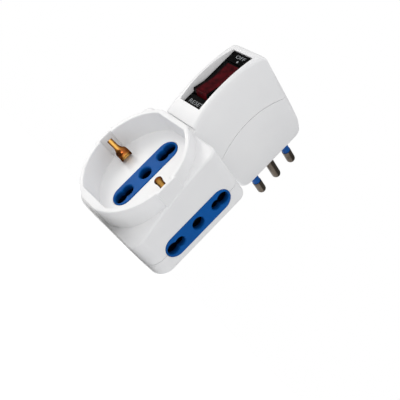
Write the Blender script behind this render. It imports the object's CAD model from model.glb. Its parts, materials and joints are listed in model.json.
# %% [markdown]
# A three-way wall adapter with an overload switch, dressed for a studio picture.
# The measured solids come in as a frame. This script gives them a camera, lights, smooth
# shading and finishes, and adds what is easier to work out as a surface: the two curled earth
# contacts in the round recess, and the lettering of the switch.

import json
import math

import bmesh
import bpy
import numpy as np
from mathutils import Matrix, Vector


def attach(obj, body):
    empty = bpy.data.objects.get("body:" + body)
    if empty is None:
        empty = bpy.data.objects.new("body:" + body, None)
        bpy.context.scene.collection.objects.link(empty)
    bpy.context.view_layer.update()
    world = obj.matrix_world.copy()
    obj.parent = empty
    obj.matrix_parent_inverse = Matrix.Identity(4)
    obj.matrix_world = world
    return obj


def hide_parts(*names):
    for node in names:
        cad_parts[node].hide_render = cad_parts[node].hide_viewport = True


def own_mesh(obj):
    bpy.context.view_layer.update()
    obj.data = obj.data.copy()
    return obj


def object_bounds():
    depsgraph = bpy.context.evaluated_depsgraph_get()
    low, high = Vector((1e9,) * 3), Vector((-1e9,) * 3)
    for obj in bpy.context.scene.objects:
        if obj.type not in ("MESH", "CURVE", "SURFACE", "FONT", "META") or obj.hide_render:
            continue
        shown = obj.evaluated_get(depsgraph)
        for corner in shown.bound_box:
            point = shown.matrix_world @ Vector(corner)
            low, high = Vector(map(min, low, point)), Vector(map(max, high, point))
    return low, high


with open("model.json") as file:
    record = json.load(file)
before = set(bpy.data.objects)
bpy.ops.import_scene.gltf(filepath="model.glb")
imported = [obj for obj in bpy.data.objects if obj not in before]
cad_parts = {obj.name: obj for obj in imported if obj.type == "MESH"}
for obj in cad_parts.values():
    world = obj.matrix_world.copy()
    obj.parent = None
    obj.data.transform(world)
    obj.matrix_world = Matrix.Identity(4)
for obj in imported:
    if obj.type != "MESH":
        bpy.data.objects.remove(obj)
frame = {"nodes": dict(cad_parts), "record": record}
load_box = [list(corner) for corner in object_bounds()]

MM = 0.001


def in_mm(box):
    """A box's two corners in millimetres, for printing."""
    return [[round(value / MM, 2) for value in corner] for corner in box]


print("box in mm:", in_mm(load_box))

# %% [markdown]
# The picture was taken from low on the right, about 26 cm from the part's middle, with the
# camera rolled so that the adapter leans across the frame. Its axes were solved from corners
# whose places on the solid are known, so the camera is given by where it stands and by three
# directions.

# %% Camera
camera_place = Vector((0.18656, -0.19185, -0.06402))
camera_right = Vector((0.561, 0.450, 0.695)).normalized()
camera_forward = Vector((-0.703, 0.703, 0.112))
camera_forward = (camera_forward - camera_right * camera_forward.dot(camera_right)).normalized()
camera_up = camera_right.cross(camera_forward)

camera_data = bpy.data.cameras.new("studio_camera")
camera_data.lens = 57.57
camera_data.sensor_width = 36.0
camera_data.clip_start = 0.01
camera = bpy.data.objects.new("studio_camera", camera_data)
bpy.context.scene.collection.objects.link(camera)
columns = Matrix((camera_right, camera_up, -camera_forward)).transposed()
camera.matrix_world = Matrix.Translation(camera_place) @ columns.to_4x4()
bpy.context.scene.camera = camera
print("camera looks along", [round(value, 3) for value in camera_forward])

# %% [markdown]
# Shader maths reads best as plain expressions. A Value wraps one socket of a material, and
# adding, subtracting, multiplying or dividing it adds the Math node that does it. Every other
# node comes from one method that takes its type, its settings and its sockets.

# %% A small language for materials


class Value:
    """A number socket that can be used in an expression."""

    def __init__(self, made, socket):
        self.made = made
        self.socket = socket

    def maths(self, operation, first, second):
        return self.made.node("Math", {"operation": operation}, (first, second))

    def __add__(self, other):
        return self.maths("ADD", self, other)

    def __sub__(self, other):
        return self.maths("SUBTRACT", self, other)

    def __rsub__(self, other):
        return self.maths("SUBTRACT", other, self)

    def __mul__(self, other):
        return self.maths("MULTIPLY", self, other)

    def __truediv__(self, other):
        return self.maths("DIVIDE", self, other)

    def __rtruediv__(self, other):
        return self.maths("DIVIDE", other, self)

    __radd__ = __add__
    __rmul__ = __mul__

    def above(self, edge, soft):
        """0 under the edge, 1 over it, with a soft step between."""
        return ((self - (edge - soft)) / (2 * soft)).clamp()

    def clamp(self):
        return self.made.node("Clamp", {}, (self, 0.0, 1.0))


class Finish:
    """A material with one Principled shader, and the nodes that feed it."""

    def __init__(self, name, **constants):
        self.material = bpy.data.materials.new(name)
        self.material.use_nodes = True
        self.tree = self.material.node_tree
        self.shader = self.tree.nodes["Principled BSDF"]
        for socket, value in constants.items():
            self.shader.inputs[socket.replace("_", " ")].default_value = value
        self.material.diffuse_color = tuple(constants.get("Base_Color", (0.8, 0.8, 0.8, 1)))

    def node(self, kind, settings, sockets, output=0):
        """Adds one node. settings are set first. sockets is a sequence or a dict."""
        made = self.tree.nodes.new("ShaderNode" + kind)
        for key, value in settings.items():
            setattr(made, key, value)
        pairs = sockets.items() if isinstance(sockets, dict) else enumerate(sockets)
        for key, value in pairs:
            socket = made.inputs[key]
            if isinstance(value, Value):
                self.tree.links.new(value.socket, socket)
            else:
                socket.default_value = value
        return Value(self, made.outputs[output])

    def place(self, scale=(1, 1, 1), turn=(0, 0, 0)):
        """Object coordinates, stretched and turned."""
        where = self.node("TexCoord", {}, (), output=3)
        return self.node("Mapping", {}, {"Vector": where, "Scale": scale, "Rotation": turn})

    def noise(self, where, scale, detail=3.0, roughness=0.5):
        return self.node("TexNoise", {}, {"Vector": where, "Scale": scale, "Detail": detail,
                                          "Roughness": roughness})

    def blend(self, factor, first, second):
        """Mixes two colours by a number."""
        return self.node("Mix", {"data_type": "RGBA"}, {0: factor, 6: first, 7: second}, output=2)

    def split(self, where, axis):
        """One coordinate of a point: axis 0, 1 or 2."""
        return self.node("SeparateXYZ", {}, (where,), output=axis)

    def feed(self, socket, value):
        """Joins a number or a colour to one of the shader's sockets."""
        self.tree.links.new(value.socket, self.shader.inputs[socket])

    def bump(self, height, distance):
        """Raises the surface by a number, at most distance metres."""
        self.feed("Normal", self.node("Bump", {}, {"Distance": distance, "Height": height}))


def colour(red, green, blue):
    """A colour given as it looks on a screen, 0 to 255, turned to the light's own scale."""
    parts = []
    for part in (red, green, blue):
        part = part / 255
        parts.append(part / 12.92 if part <= 0.04045 else ((part + 0.055) / 1.055) ** 2.4)
    return (*parts, 1.0)


print("white as light:", [round(part, 3) for part in colour(243, 244, 246)])

# %% [markdown]
# The housing is glossy white plastic. It is a very pale grey, with the faint orange peel that
# a polished tool leaves, a soft unevenness in its gloss and hardly any in its colour. Handling
# leaves fine dull streaks, so the gloss gets a stretched noise too.

# %% White plastic


def moulded(name, base, shade, gloss, peel=0.012, grain=900.0, shine=0.5):
    """Moulded plastic.

    Colour = base, blended towards shade by a slow noise. Roughness = gloss - 0.05 + 0.10
    times a medium noise + 0.05 where a stretched noise makes a streak. Bump = a fine noise,
    peel millimetres high. Grain is the fine noise's scale, shine the strength of reflections.
    """
    made = Finish(name, Base_Color=base, Roughness=gloss, IOR=1.50, Specular_IOR_Level=shine)
    where = made.place()
    slow = made.noise(where, 60.0, 2.0)
    made.feed("Base Color", made.blend(slow.above(0.5, 0.25), base, shade))
    medium = made.noise(where, 260.0, 4.0)
    streaks = made.noise(made.place(scale=(1, 1, 9), turn=(0.3, 0.5, 0.2)), 420.0, 3.0)
    made.feed("Roughness", medium * 0.10 + streaks.above(0.62, 0.06) * 0.05 + (gloss - 0.05))
    fine = made.noise(where, grain, 2.0)
    made.bump(fine, peel * MM)
    return made.material


white_plastic = moulded("white_plastic", colour(243, 243, 243), colour(239, 239, 240), 0.30,
                        peel=0.006, grain=500.0)
print("made", white_plastic.name)

# %% [markdown]
# The three socket inserts are matt blue. Their holes look black in a picture, because little
# light finds its way in and out again. The blue itself turns deep blue with the depth below
# the insert's face, which keeps the holes dark without taking light from the face. The
# shutters and their covers behind the holes are dark too, so that nothing pale shows through.

# %% Coloured plastics


def insert_plastic(name, axis, sign, face):
    """Blue insert: the plain blue, which turns to deep blue inside its holes.

    Depth = sign * (coordinate along axis) + face, in metres: 0 at the insert's face and
    growing inwards. The deep blue comes in between 0.6 and 3.4 mm.
    """
    made = Finish(name, Base_Color=colour(6, 90, 168), Roughness=0.36, IOR=1.5,
                  Specular_IOR_Level=0.08)
    where = made.place()
    depth = made.split(where, axis) * sign + face * MM
    inside = depth.above(2.0 * MM, 1.4 * MM)
    slow = made.noise(where, 90.0, 2.0)
    skin = made.blend(slow.above(0.5, 0.25), colour(6, 90, 168), colour(5, 82, 156))
    made.feed("Base Color", made.blend(inside, skin, colour(1, 14, 38)))
    made.feed("Roughness", made.noise(where, 260.0, 4.0) * 0.12 + 0.32)
    made.bump(made.noise(where, 700.0, 2.0), 0.006 * MM)
    return made.material


own_finishes = {
    "front_insert": insert_plastic("blue_front", axis=1, sign=1, face=36.6),
    "left_insert": insert_plastic("blue_left", axis=0, sign=1, face=24.5),
    "right_insert": insert_plastic("blue_right", axis=0, sign=-1, face=24.5),
}
shutter_plastic = moulded("shutter_plastic", colour(4, 14, 38), colour(3, 10, 28), 0.5,
                          shine=0.15)
black_plastic = moulded("black_plastic", colour(5, 5, 6), colour(8, 8, 9), 0.38,
                        peel=0.003, shine=0.03)
cover_plastic = moulded("cover_plastic", colour(52, 54, 58), colour(46, 48, 52), 0.5)
dark_plastic = moulded("carrier_plastic", colour(34, 34, 37), colour(28, 28, 30), 0.5)
sleeve_plastic = moulded("sleeve_plastic", colour(8, 86, 164), colour(6, 76, 150), 0.34,
                         shine=0.12)
print("plastics:", [one.name for one in (shutter_plastic, black_plastic, cover_plastic,
                                          dark_plastic, sleeve_plastic)])

# %% [markdown]
# The contact strips are sheet brass, the pins are plated, and the springs are drawn wire.
# Rolling and drawing leave fine lines along the metal, and handling leaves a browner tone in
# places. The brass that shows most is the two earth contacts in the recess. They are polished
# along the middle, where plugs rub, and brown along the edges and where they were bent most.

# %% Metals


def metal(name, base, tarnish, gloss):
    """Drawn or rolled metal.

    Colour = base towards tarnish by a slow noise. Roughness = gloss + 0.12 times a noise
    drawn out forty times longer along Y than across. Bump = the same noise.
    """
    made = Finish(name, Base_Color=base, Metallic=1.0, Roughness=gloss)
    where = made.place()
    slow = made.noise(where, 300.0, 3.0)
    made.feed("Base Color", made.blend(slow.above(0.5, 0.14), base, tarnish))
    long_lines = made.noise(made.place(scale=(40, 1, 40)), 120.0, 3.0)
    made.feed("Roughness", long_lines * 0.12 + gloss)
    made.bump(long_lines, 0.003 * MM)
    return made.material


brass = metal("brass_sheet", colour(206, 152, 72), colour(136, 82, 34), 0.12)
nickel = metal("nickel_plate", colour(104, 95, 86), colour(84, 76, 68), 0.22)
steel = metal("spring_steel", colour(170, 170, 174), colour(150, 150, 152), 0.30)
screw_zinc = metal("screw_zinc", colour(180, 182, 186), colour(150, 152, 150), 0.35)


def contact_finish():
    """Brass of the pressed contacts, polished along the middle and brown along the edges.

    The mesh carries two numbers: across is 0 on the strip's middle line and 1 at its edges,
    and bent is 1 where the strip was bent hardest and 0 away from there. Colour = bright brass
    towards red brown by bent, then towards dark brown where across passes a level that a fine
    noise moves. Roughness = 0.10 + 0.08 times the fine noise. Bump = the fine noise.
    """
    polished, red_brown, dark_brown = colour(226, 172, 88), colour(130, 52, 20), colour(84, 44, 16)
    made = Finish("contact_brass", Base_Color=colour(240, 190, 104), Metallic=1.0, Roughness=0.12)
    across = made.node("Attribute", {"attribute_name": "across"}, (), output=2)
    bent = made.node("Attribute", {"attribute_name": "bent"}, (), output=2)
    fine = made.noise(made.place(), 900.0, 2.0)
    edge = (across + fine * 0.3).above(0.66, 0.26)
    brown = made.blend(bent * 0.9, polished, red_brown)
    made.feed("Base Color", made.blend(edge, brown, dark_brown))
    made.feed("Roughness", fine * 0.08 + 0.10)
    made.bump(fine, 0.003 * MM)
    return made.material


contact_brass = contact_finish()
print("metals:", [one.name for one in (brass, contact_brass, nickel, steel, screw_zinc)])

# %% [markdown]
# The rocker's lens is deep red clear plastic over a dark well, so it looks almost black where
# nothing lights it. Seen through the plastic, the moulded ribs under its face and the lamp
# behind it show only as soft dark and red patches, darkest along the left side.

# %% Lens, lamp and wire


def lens_finish(name, end_only):
    """Dark red lens.

    Tone = a cloudy noise, its blotches drawn out across the lens. Colour = blend of two dark
    reds by tone, then black left of left_edge. Bump = the same noise, very shallow. With
    end_only the red is kept to the rocker's low end, below end_height and left of right_edge,
    and the rest is black. The three places are in millimetres.
    """
    left_edge, right_edge, end_height = -2.9, 3.8, -7.2

    made = Finish(name, Base_Color=colour(48, 8, 14), Roughness=0.30, Specular_IOR_Level=0.04)
    where = made.place()
    cloud = made.noise(made.place(scale=(1, 1, 1.6)), 330.0, 1.0)
    across = made.split(where, 0)
    left = across.above(left_edge * MM, 0.5 * MM)
    tone = cloud.above(0.46, 0.22)
    red = made.blend(tone, colour(46, 7, 12), colour(80, 12, 20))
    red = made.blend(left, colour(8, 5, 6), red)
    if end_only:
        along = made.split(where, 2)
        low_end = (0.0 - along).above(-end_height * MM, 0.1 * MM)
        right = (0.0 - across).above(-right_edge * MM, 0.1 * MM)
        red = made.blend(low_end * right, colour(6, 6, 7), red)
    made.feed("Base Color", red)
    made.bump(cloud, 0.01 * MM)
    return made.material


def lamp_finish():
    """Thin lamp glass.

    Colour = clear towards amber by a slow noise. Roughness = 0.03 + 0.12 times that noise.
    """
    clear = colour(236, 214, 190)
    made = Finish("lamp_glass", Base_Color=clear, Roughness=0.05, Transmission_Weight=0.8,
                  IOR=1.47)
    slow = made.noise(made.place(), 400.0, 2.0)
    made.feed("Roughness", slow * 0.12 + 0.03)
    made.feed("Base Color", made.blend(slow.above(0.5, 0.2), clear, colour(214, 178, 140)))
    return made.material


lens_red = lens_finish("lens_red", False)
rocker_black = lens_finish("rocker_black", True)
lamp_glass = lamp_finish()
brown_wire = moulded("brown_wire", colour(112, 66, 38), colour(98, 56, 32), 0.42)
blue_wire = moulded("blue_wire", colour(38, 96, 176), colour(34, 86, 160), 0.42)
green_wire = moulded("green_wire", colour(92, 158, 48), colour(200, 196, 40), 0.42)
ink = moulded("pale_ink", colour(158, 162, 164), colour(128, 132, 136), 0.55, peel=0.002)
print("lens, lamp, wires, ink:", [one.name for one in (lens_red, rocker_black, lamp_glass,
                                                       brown_wire, blue_wire, green_wire, ink)])

# %% [markdown]
# The floor is plain and nearly white. For the camera and in reflections it glows a little, so
# that it meets the white background without an edge, and the part still throws its soft shadow
# on it.

# %% Floor
floor_z = load_box[0][2] - 0.2 * MM
floor_half = 1.6
floor_glow = 0.42
floor_mesh = bpy.data.meshes.new("studio_floor")
corners = [(x * floor_half, y * floor_half, floor_z) for x, y in
           ((-1, -1), (1, -1), (1, 1), (-1, 1))]
floor_mesh.from_pydata(corners, [], [(0, 1, 2, 3)])
studio_floor = bpy.data.objects.new("studio_floor", floor_mesh)
bpy.context.scene.collection.objects.link(studio_floor)


def floor_finish():
    """White paper: a diffuse floor. Glow = floor_glow for camera and gloss rays, else none."""
    made = Finish("studio_paper", Base_Color=(0.92, 0.92, 0.92, 1), Roughness=0.9,
                  Emission_Strength=1.0)
    seen = made.node("LightPath", {}, (), output="Is Camera Ray")
    gloss = made.node("LightPath", {}, (), output="Is Glossy Ray")
    glow = (floor_glow, floor_glow, floor_glow, 1)
    made.feed("Emission Color", made.blend((seen + gloss).clamp(), (0, 0, 0, 1), glow))
    return made.material


floor_mesh.materials.append(floor_finish())
print("floor at", round(floor_z / MM, 2), "mm")

# %% [markdown]
# White parts on white need light from every side, with one side only a little brighter, or
# they turn grey. The world gives the even light and shows white to the camera and through
# glass. Metal mirrors what stands round it, and in an even white room it looks like card, so
# for gloss the room is dim, with one bright patch on the side that the part is seen from.

# %% World
world = bpy.data.worlds.new("studio_world")
bpy.context.scene.world = world
world.use_nodes = True
world.node_tree.nodes.clear()
bright_side = Vector((0.66, -0.70, 0.10)).normalized()
even_level = 0.76
gloss_level = 0.22
patch_level = 1.3


class Room(Finish):
    """The world's nodes, made in the same way as a material's."""

    def __init__(self, tree):
        self.tree = tree

    def background(self, tint, strength):
        return self.node("Background", {}, {"Color": tint, "Strength": strength})


room = Room(world.node_tree)
towards = room.node("TexCoord", {}, (), output=0)
facing = room.node("VectorMath", {"operation": "DOT_PRODUCT"}, (towards, tuple(bright_side)),
                   output=1)
patch = facing.above(0.80, 0.14)
even = room.background((0.985, 0.99, 1.0, 1), even_level)
mirrored = room.background((1.0, 0.99, 0.97, 1), patch * patch_level + gloss_level)
shown = room.background((1, 1, 1, 1), 1.0)
is_gloss = room.node("LightPath", {}, (), output="Is Glossy Ray")
is_seen = room.node("LightPath", {}, (), output="Is Camera Ray")
is_through = room.node("LightPath", {}, (), output="Is Transmission Ray")
light = room.node("MixShader", {}, (is_gloss, even, mirrored))
light = room.node("MixShader", {}, ((is_seen + is_through).clamp(), light, shown))
sky = room.tree.nodes.new("ShaderNodeOutputWorld")
room.tree.links.new(light.socket, sky.inputs["Surface"])
print("world nodes:", len(room.tree.nodes))

# %% [markdown]
# Three flat lamps stand well off the part. The one that lights it most stands on the left, at
# the part's own height. A weak one in front lifts the faces turned to the viewer, and a large
# one from above lights the floor and the plug's upper side. The world already gives most of the
# light, so the lamps' powers are low.

# %% Lamps


def softbox(name, place, target, width, height, power, tint=(1, 1, 1)):
    """A flat lamp of a width and height in metres that faces a point of the part."""
    data = bpy.data.lights.new(name, "AREA")
    data.shape = "RECTANGLE"
    data.size = width
    data.size_y = height
    data.energy = power
    data.color = tint
    lamp = bpy.data.objects.new(name, data)
    bpy.context.scene.collection.objects.link(lamp)
    lamp.location = place
    facing = (Vector(target) - Vector(place)).to_track_quat("-Z", "Y")
    lamp.rotation_euler = facing.to_euler()


middle = (0.0, -0.02, -0.025)
warm = (1.0, 0.975, 0.93)
softbox("key_light", (-0.45, -0.42, -0.02), middle, 0.30, 0.20, 0.75, warm)
softbox("front_light", (0.10, -0.70, 0.00), middle, 0.40, 0.25, 0.30, warm)
softbox("top_light", (0.00, -0.25, 0.60), (0.0, -0.15, -0.07), 0.5, 0.5, 0.8)
bpy.context.scene.view_settings.view_transform = "Standard"

# %% [markdown]
# The solids arrive as loose flat triangles, which shows on curved plastic. A copy whose
# corners are joined can be shaded smooth, with its real edges kept crisp. The copy stands
# for the solid, which stays behind for the collision model. The earth clip is left for later,
# because its arms get a new shape.

# %% Smooth copies of the solids
slots = {entry["node"]: entry["material_slot"] for entry in frame["record"]["subparts"]}
body_of = {node: body for body, nodes in frame["record"]["behaviour"]["bodies"].items()
           for node in nodes}
crease = math.radians(28)


def add_piece(name, mesh, node, material):
    """Links a mesh as a piece that rides with a node's body and stands for that node."""
    mesh.materials.clear()
    mesh.materials.append(material)
    piece = bpy.data.objects.new(name, mesh)
    bpy.context.scene.collection.objects.link(piece)
    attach(piece, body_of[node])
    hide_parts(node)
    return piece


def smooth_copy(node, material, keep=None):
    """Joins a solid's loose triangles and shades it smooth where faces meet at crease or less.

    keep, if given, says of a face's middle whether the face stays in the copy. What is cut
    open by it is closed again.
    """
    mesh = frame["nodes"][node].data.copy()
    mesh.name = node + "_skin"
    work = bmesh.new()
    work.from_mesh(mesh)
    bmesh.ops.remove_doubles(work, verts=work.verts, dist=1e-6)
    if keep:
        away = [face for face in work.faces if not keep(face.calc_center_median())]
        bmesh.ops.delete(work, geom=away, context="FACES")
        cut = [edge for edge in work.edges if edge.is_boundary]
        bmesh.ops.holes_fill(work, edges=cut, sides=0)
    for face in work.faces:
        face.smooth = True
    for edge in work.edges:
        edge.smooth = not (len(edge.link_faces) == 2 and edge.calc_face_angle(0.0) > crease)
    work.to_mesh(mesh)
    work.free()
    piece = add_piece(node + "_skin", mesh, node, material)
    weigh = piece.modifiers.new("even_normals", "WEIGHTED_NORMAL")
    weigh.keep_sharp = True
    return piece


finishes = {
    "housing": white_plastic, "shutter": shutter_plastic, "cover": cover_plastic,
    "brass": brass, "pin_metal": nickel, "sleeve": sleeve_plastic,
    "switch_black": black_plastic, "lens_red": lens_red, "lamp_glass": lamp_glass,
    "spring_steel": steel, "carrier": dark_plastic, "screw_steel": screw_zinc,
    "wire_brown": brown_wire, "wire_blue": blue_wire, "wire_green": green_wire,
}
own_finishes["rocker_body"] = rocker_black
skins = {}
for node, slot in slots.items():
    if node != "earth_clip":
        skins[node] = smooth_copy(node, own_finishes.get(node) or finishes[slot])
print("smooth copies:", len(skins))

# %% [markdown]
# A small coil spring stands behind each shutter and presses it shut. When a plug's pins push
# the shutter aside, the coil closes up against the wall at its far end. The drawn coil does
# the same: it flattens along its own length, towards that wall, while the shutter slides.

# %% Springs that close up
far_ends = {"front": ((1, 0, 0), (11.4, -32.7, -44.0)),
            "left": ((0, 1, 0), (-20.6, -32.9, -44.0)),
            "right": ((0, 1, 0), (20.6, -32.9, -44.0))}
for side, (axis, wall) in far_ends.items():
    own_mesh(skins[side + "_shutter_spring"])
print("springs that close up:", len(far_ends))

# %% [markdown]
# Each earth contact is one brass strip. The left one bulges inwards, where a plug's side
# contact presses on it, and then leans out into its notch with a narrow tongue. The right one
# bows outwards at its foot and leans back in towards its top. Both are rolled across their
# width, which makes them stiff. A profile carried along a path gives this shape: the path is
# the strip's side view, and the profile is a flat ring whose width and hollow change along the
# way.

# %% Curled earth contacts
floor_y = -36.3
socket_z = -44.0


def smooth_path(points, count):
    """Catmull-Rom curve: between two points, a cubic whose slopes come from the neighbours."""
    points = np.asarray(points, float)
    ends = np.vstack([2 * points[0] - points[1], points, 2 * points[-1] - points[-2]])
    where = np.linspace(0, len(points) - 1 - 1e-9, count)
    first = where.astype(int)
    t = (where - first)[:, None]
    a, b, c, d = ends[first], ends[first + 1], ends[first + 2], ends[first + 3]
    return 0.5 * (2 * b + (c - a) * t + (2 * a - 5 * b + 4 * c - d) * t ** 2
                  + (3 * b - a - 3 * c + d) * t ** 3)


def curled_strip(stations, sign, thickness=0.42, count=72, around=40):
    """Rows of a strip: stations are (from the middle, above the floor, half width, hollow).

    Point = path(s) + z * width(s) * u + n * (hollow(s) * u * u + thickness / 2 * side), where
    u runs -1 to 1 and back round a flat ring, side is +1 or -1 over its two faces with round
    ends between, and n is the path's normal. sign is -1 for the left contact, 1 for the right.
    """
    line = smooth_path(stations, count)
    out, up, half, hollow = line.T
    slope = np.gradient(line[:, :2], axis=0)
    slope /= np.linalg.norm(slope, axis=1)[:, None]
    normal = np.stack([slope[:, 1], -slope[:, 0]], axis=1)
    turn = np.linspace(0, 2 * np.pi, around, endpoint=False)
    u = np.sign(np.cos(turn)) * np.abs(np.cos(turn)) ** 0.55
    side = np.sign(np.sin(turn)) * np.abs(np.sin(turn)) ** 0.35
    push = hollow[:, None] * u ** 2 + thickness / 2 * side
    x = sign * (out[:, None] + normal[:, 0:1] * push)
    y = floor_y - (up[:, None] + normal[:, 1:2] * push)
    z = socket_z + half[:, None] * u
    return np.stack([x, y, z], axis=2) * MM


def ring_mesh(name, rows, flip, bend):
    """Joins rows of rings with four-sided faces and closes both ends with one face each.

    Two numbers go with each point. Across = its distance from the ring's middle / half the
    ring's width. Bent = exp(-((height - bend) / bend_width) squared), the height taken in
    millimetres above the recess floor.
    """
    bend_width = 0.9
    count, around, _ = rows.shape
    first = np.arange(count - 1)[:, None] * around
    here = np.arange(around)[None, :]
    after = (here + 1) % around
    quads = np.stack([first + here, first + after, first + around + after,
                      first + around + here], axis=2).reshape(-1, 4)
    caps = [np.arange(around)[::-1], (count - 1) * around + np.arange(around)]
    faces = [list(face) for face in quads] + [list(face) for face in caps]
    if flip:
        faces = [face[::-1] for face in faces]
    mesh = bpy.data.meshes.new(name)
    mesh.from_pydata(rows.reshape(-1, 3).tolist(), [], faces)
    mesh.shade_smooth()
    high, low = rows[:, :, 2].max(axis=1)[:, None], rows[:, :, 2].min(axis=1)[:, None]
    across = np.abs(rows[:, :, 2] - (high + low) / 2) / ((high - low) / 2)
    bent = np.exp(-((floor_y - rows[:, :, 1] / MM - bend) / bend_width) ** 2)
    for label, values in (("across", across), ("bent", bent)):
        mesh.attributes.new(label, "FLOAT", "POINT").data.foreach_set("value", values.ravel())
    work = bmesh.new()
    work.from_mesh(mesh)
    print(name, "volume mm3, positive when the faces point outwards:",
          round(work.calc_volume(signed=True) * 1e9, 2))
    work.free()
    return mesh


left_stations = [(16.2, -6.6, 2.2, 0.0), (16.2, -3.0, 2.2, 0.0), (15.9, -0.4, 2.3, 0.0),
                 (14.3, 0.6, 2.4, -0.2), (12.9, 1.7, 2.5, -0.5), (12.5, 2.8, 2.5, -0.9),
                 (13.3, 3.7, 2.5, -1.0), (14.7, 3.9, 2.3, -0.9), (16.2, 4.3, 1.6, -0.7),
                 (17.6, 5.4, 1.15, -0.6), (19.1, 6.9, 1.15, -0.6), (20.2, 8.0, 1.1, -0.5)]
right_stations = [(16.2, -6.6, 2.2, 0.0), (16.2, -3.0, 2.2, 0.0), (16.5, -0.4, 2.2, 0.0),
                  (17.6, 0.8, 1.8, 0.0), (17.8, 1.8, 1.65, 0.1), (17.2, 2.8, 1.5, 0.2),
                  (16.3, 3.7, 1.35, 0.4), (15.8, 4.6, 1.3, 0.7), (15.5, 5.5, 1.4, 0.9),
                  (15.3, 6.4, 1.6, 1.1), (15.2, 7.0, 1.65, 1.1), (15.2, 7.5, 1.6, 1.0)]
for side, sign, stations, bend in (("left", -1, left_stations, 4.0),
                                   ("right", 1, right_stations, 7.4)):
    mesh = ring_mesh(side + "_contact", curled_strip(stations, sign), sign > 0, bend)
    contact = add_piece(side + "_earth_contact", mesh, "earth_clip", contact_brass)
    print(contact.name, "triangles", sum(len(face.vertices) - 2 for face in contact.data.polygons))

# %% [markdown]
# Both contacts grow out of one base strip behind the front socket, between its shutter cover
# and the earth bar. The base is as the solid has it: of the solid's faces, those more than
# base_depth millimetres below the recess floor are kept, and the two cuts are closed.

# %% The clip's base, cut off below the arms
base_depth = 5.5
clip_base = smooth_copy("earth_clip", brass,
                        keep=lambda at: at.y > (floor_y + base_depth) * MM)
print("clip base faces:", len(clip_base.data.polygons))

# %% [markdown]
# The switch is printed in pale grey: OFF and a dot above the rocker, RESET below it. The
# letters are narrow, so the built-in letter shapes are squeezed. They are turned into a flat
# mesh first and only then moved, because a finished piece has its place in its mesh.

# %% Lettering of the switch
frame_face = -43.3
ink_lift = 0.02
ink_y = frame_face - ink_lift


def printed_word(name, text, middle_x, middle_z, width, height):
    """Flat letters on the switch's frame: scaled to a width and height, centred on a point."""
    curve = bpy.data.curves.new(name, "FONT")
    curve.body = text
    curve.align_x = "CENTER"
    curve.resolution_u = 3
    maker = bpy.data.objects.new(name + "_curve", curve)
    bpy.context.scene.collection.objects.link(maker)
    bpy.context.view_layer.update()
    mesh = bpy.data.meshes.new_from_object(maker)
    bpy.data.objects.remove(maker)
    at = np.empty(len(mesh.vertices) * 3)
    mesh.vertices.foreach_get("co", at)
    at = at.reshape(-1, 3)
    low, high = at.min(axis=0), at.max(axis=0)
    flat = (at[:, :2] - (low[:2] + high[:2]) / 2) / (high[:2] - low[:2])
    placed = np.stack([middle_x + flat[:, 0] * width,
                       np.full(len(at), ink_y),
                       middle_z + flat[:, 1] * height], axis=1) * MM
    mesh.vertices.foreach_set("co", placed.ravel())
    mesh.update()
    return mesh


def dot_mesh(name, middle_x, middle_z, radius, count=24):
    """A disc: point = middle + radius * (cos, sin) of count equal angles."""
    angle = np.linspace(0, 2 * np.pi, count, endpoint=False)
    rim = np.stack([middle_x + radius * np.cos(angle), np.full(count, ink_y),
                    middle_z + radius * np.sin(angle)], axis=1) * MM
    mesh = bpy.data.meshes.new(name)
    mesh.from_pydata(rim.tolist(), [], [list(range(count))])
    return mesh


marks = [printed_word("off_word", "OFF", 0.4, 12.4, 5.4, 1.55),
         dot_mesh("off_dot", 0.6, 10.35, 0.5),
         printed_word("reset_word", "RESET", 0.7, -12.2, 8.6, 1.7)]
for mesh in marks:
    mesh.materials.append(ink)
    mark = bpy.data.objects.new(mesh.name, mesh)
    bpy.context.scene.collection.objects.link(mark)
    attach(mark, body_of["switch_frame"])
print("marks:", [mesh.name for mesh in marks])
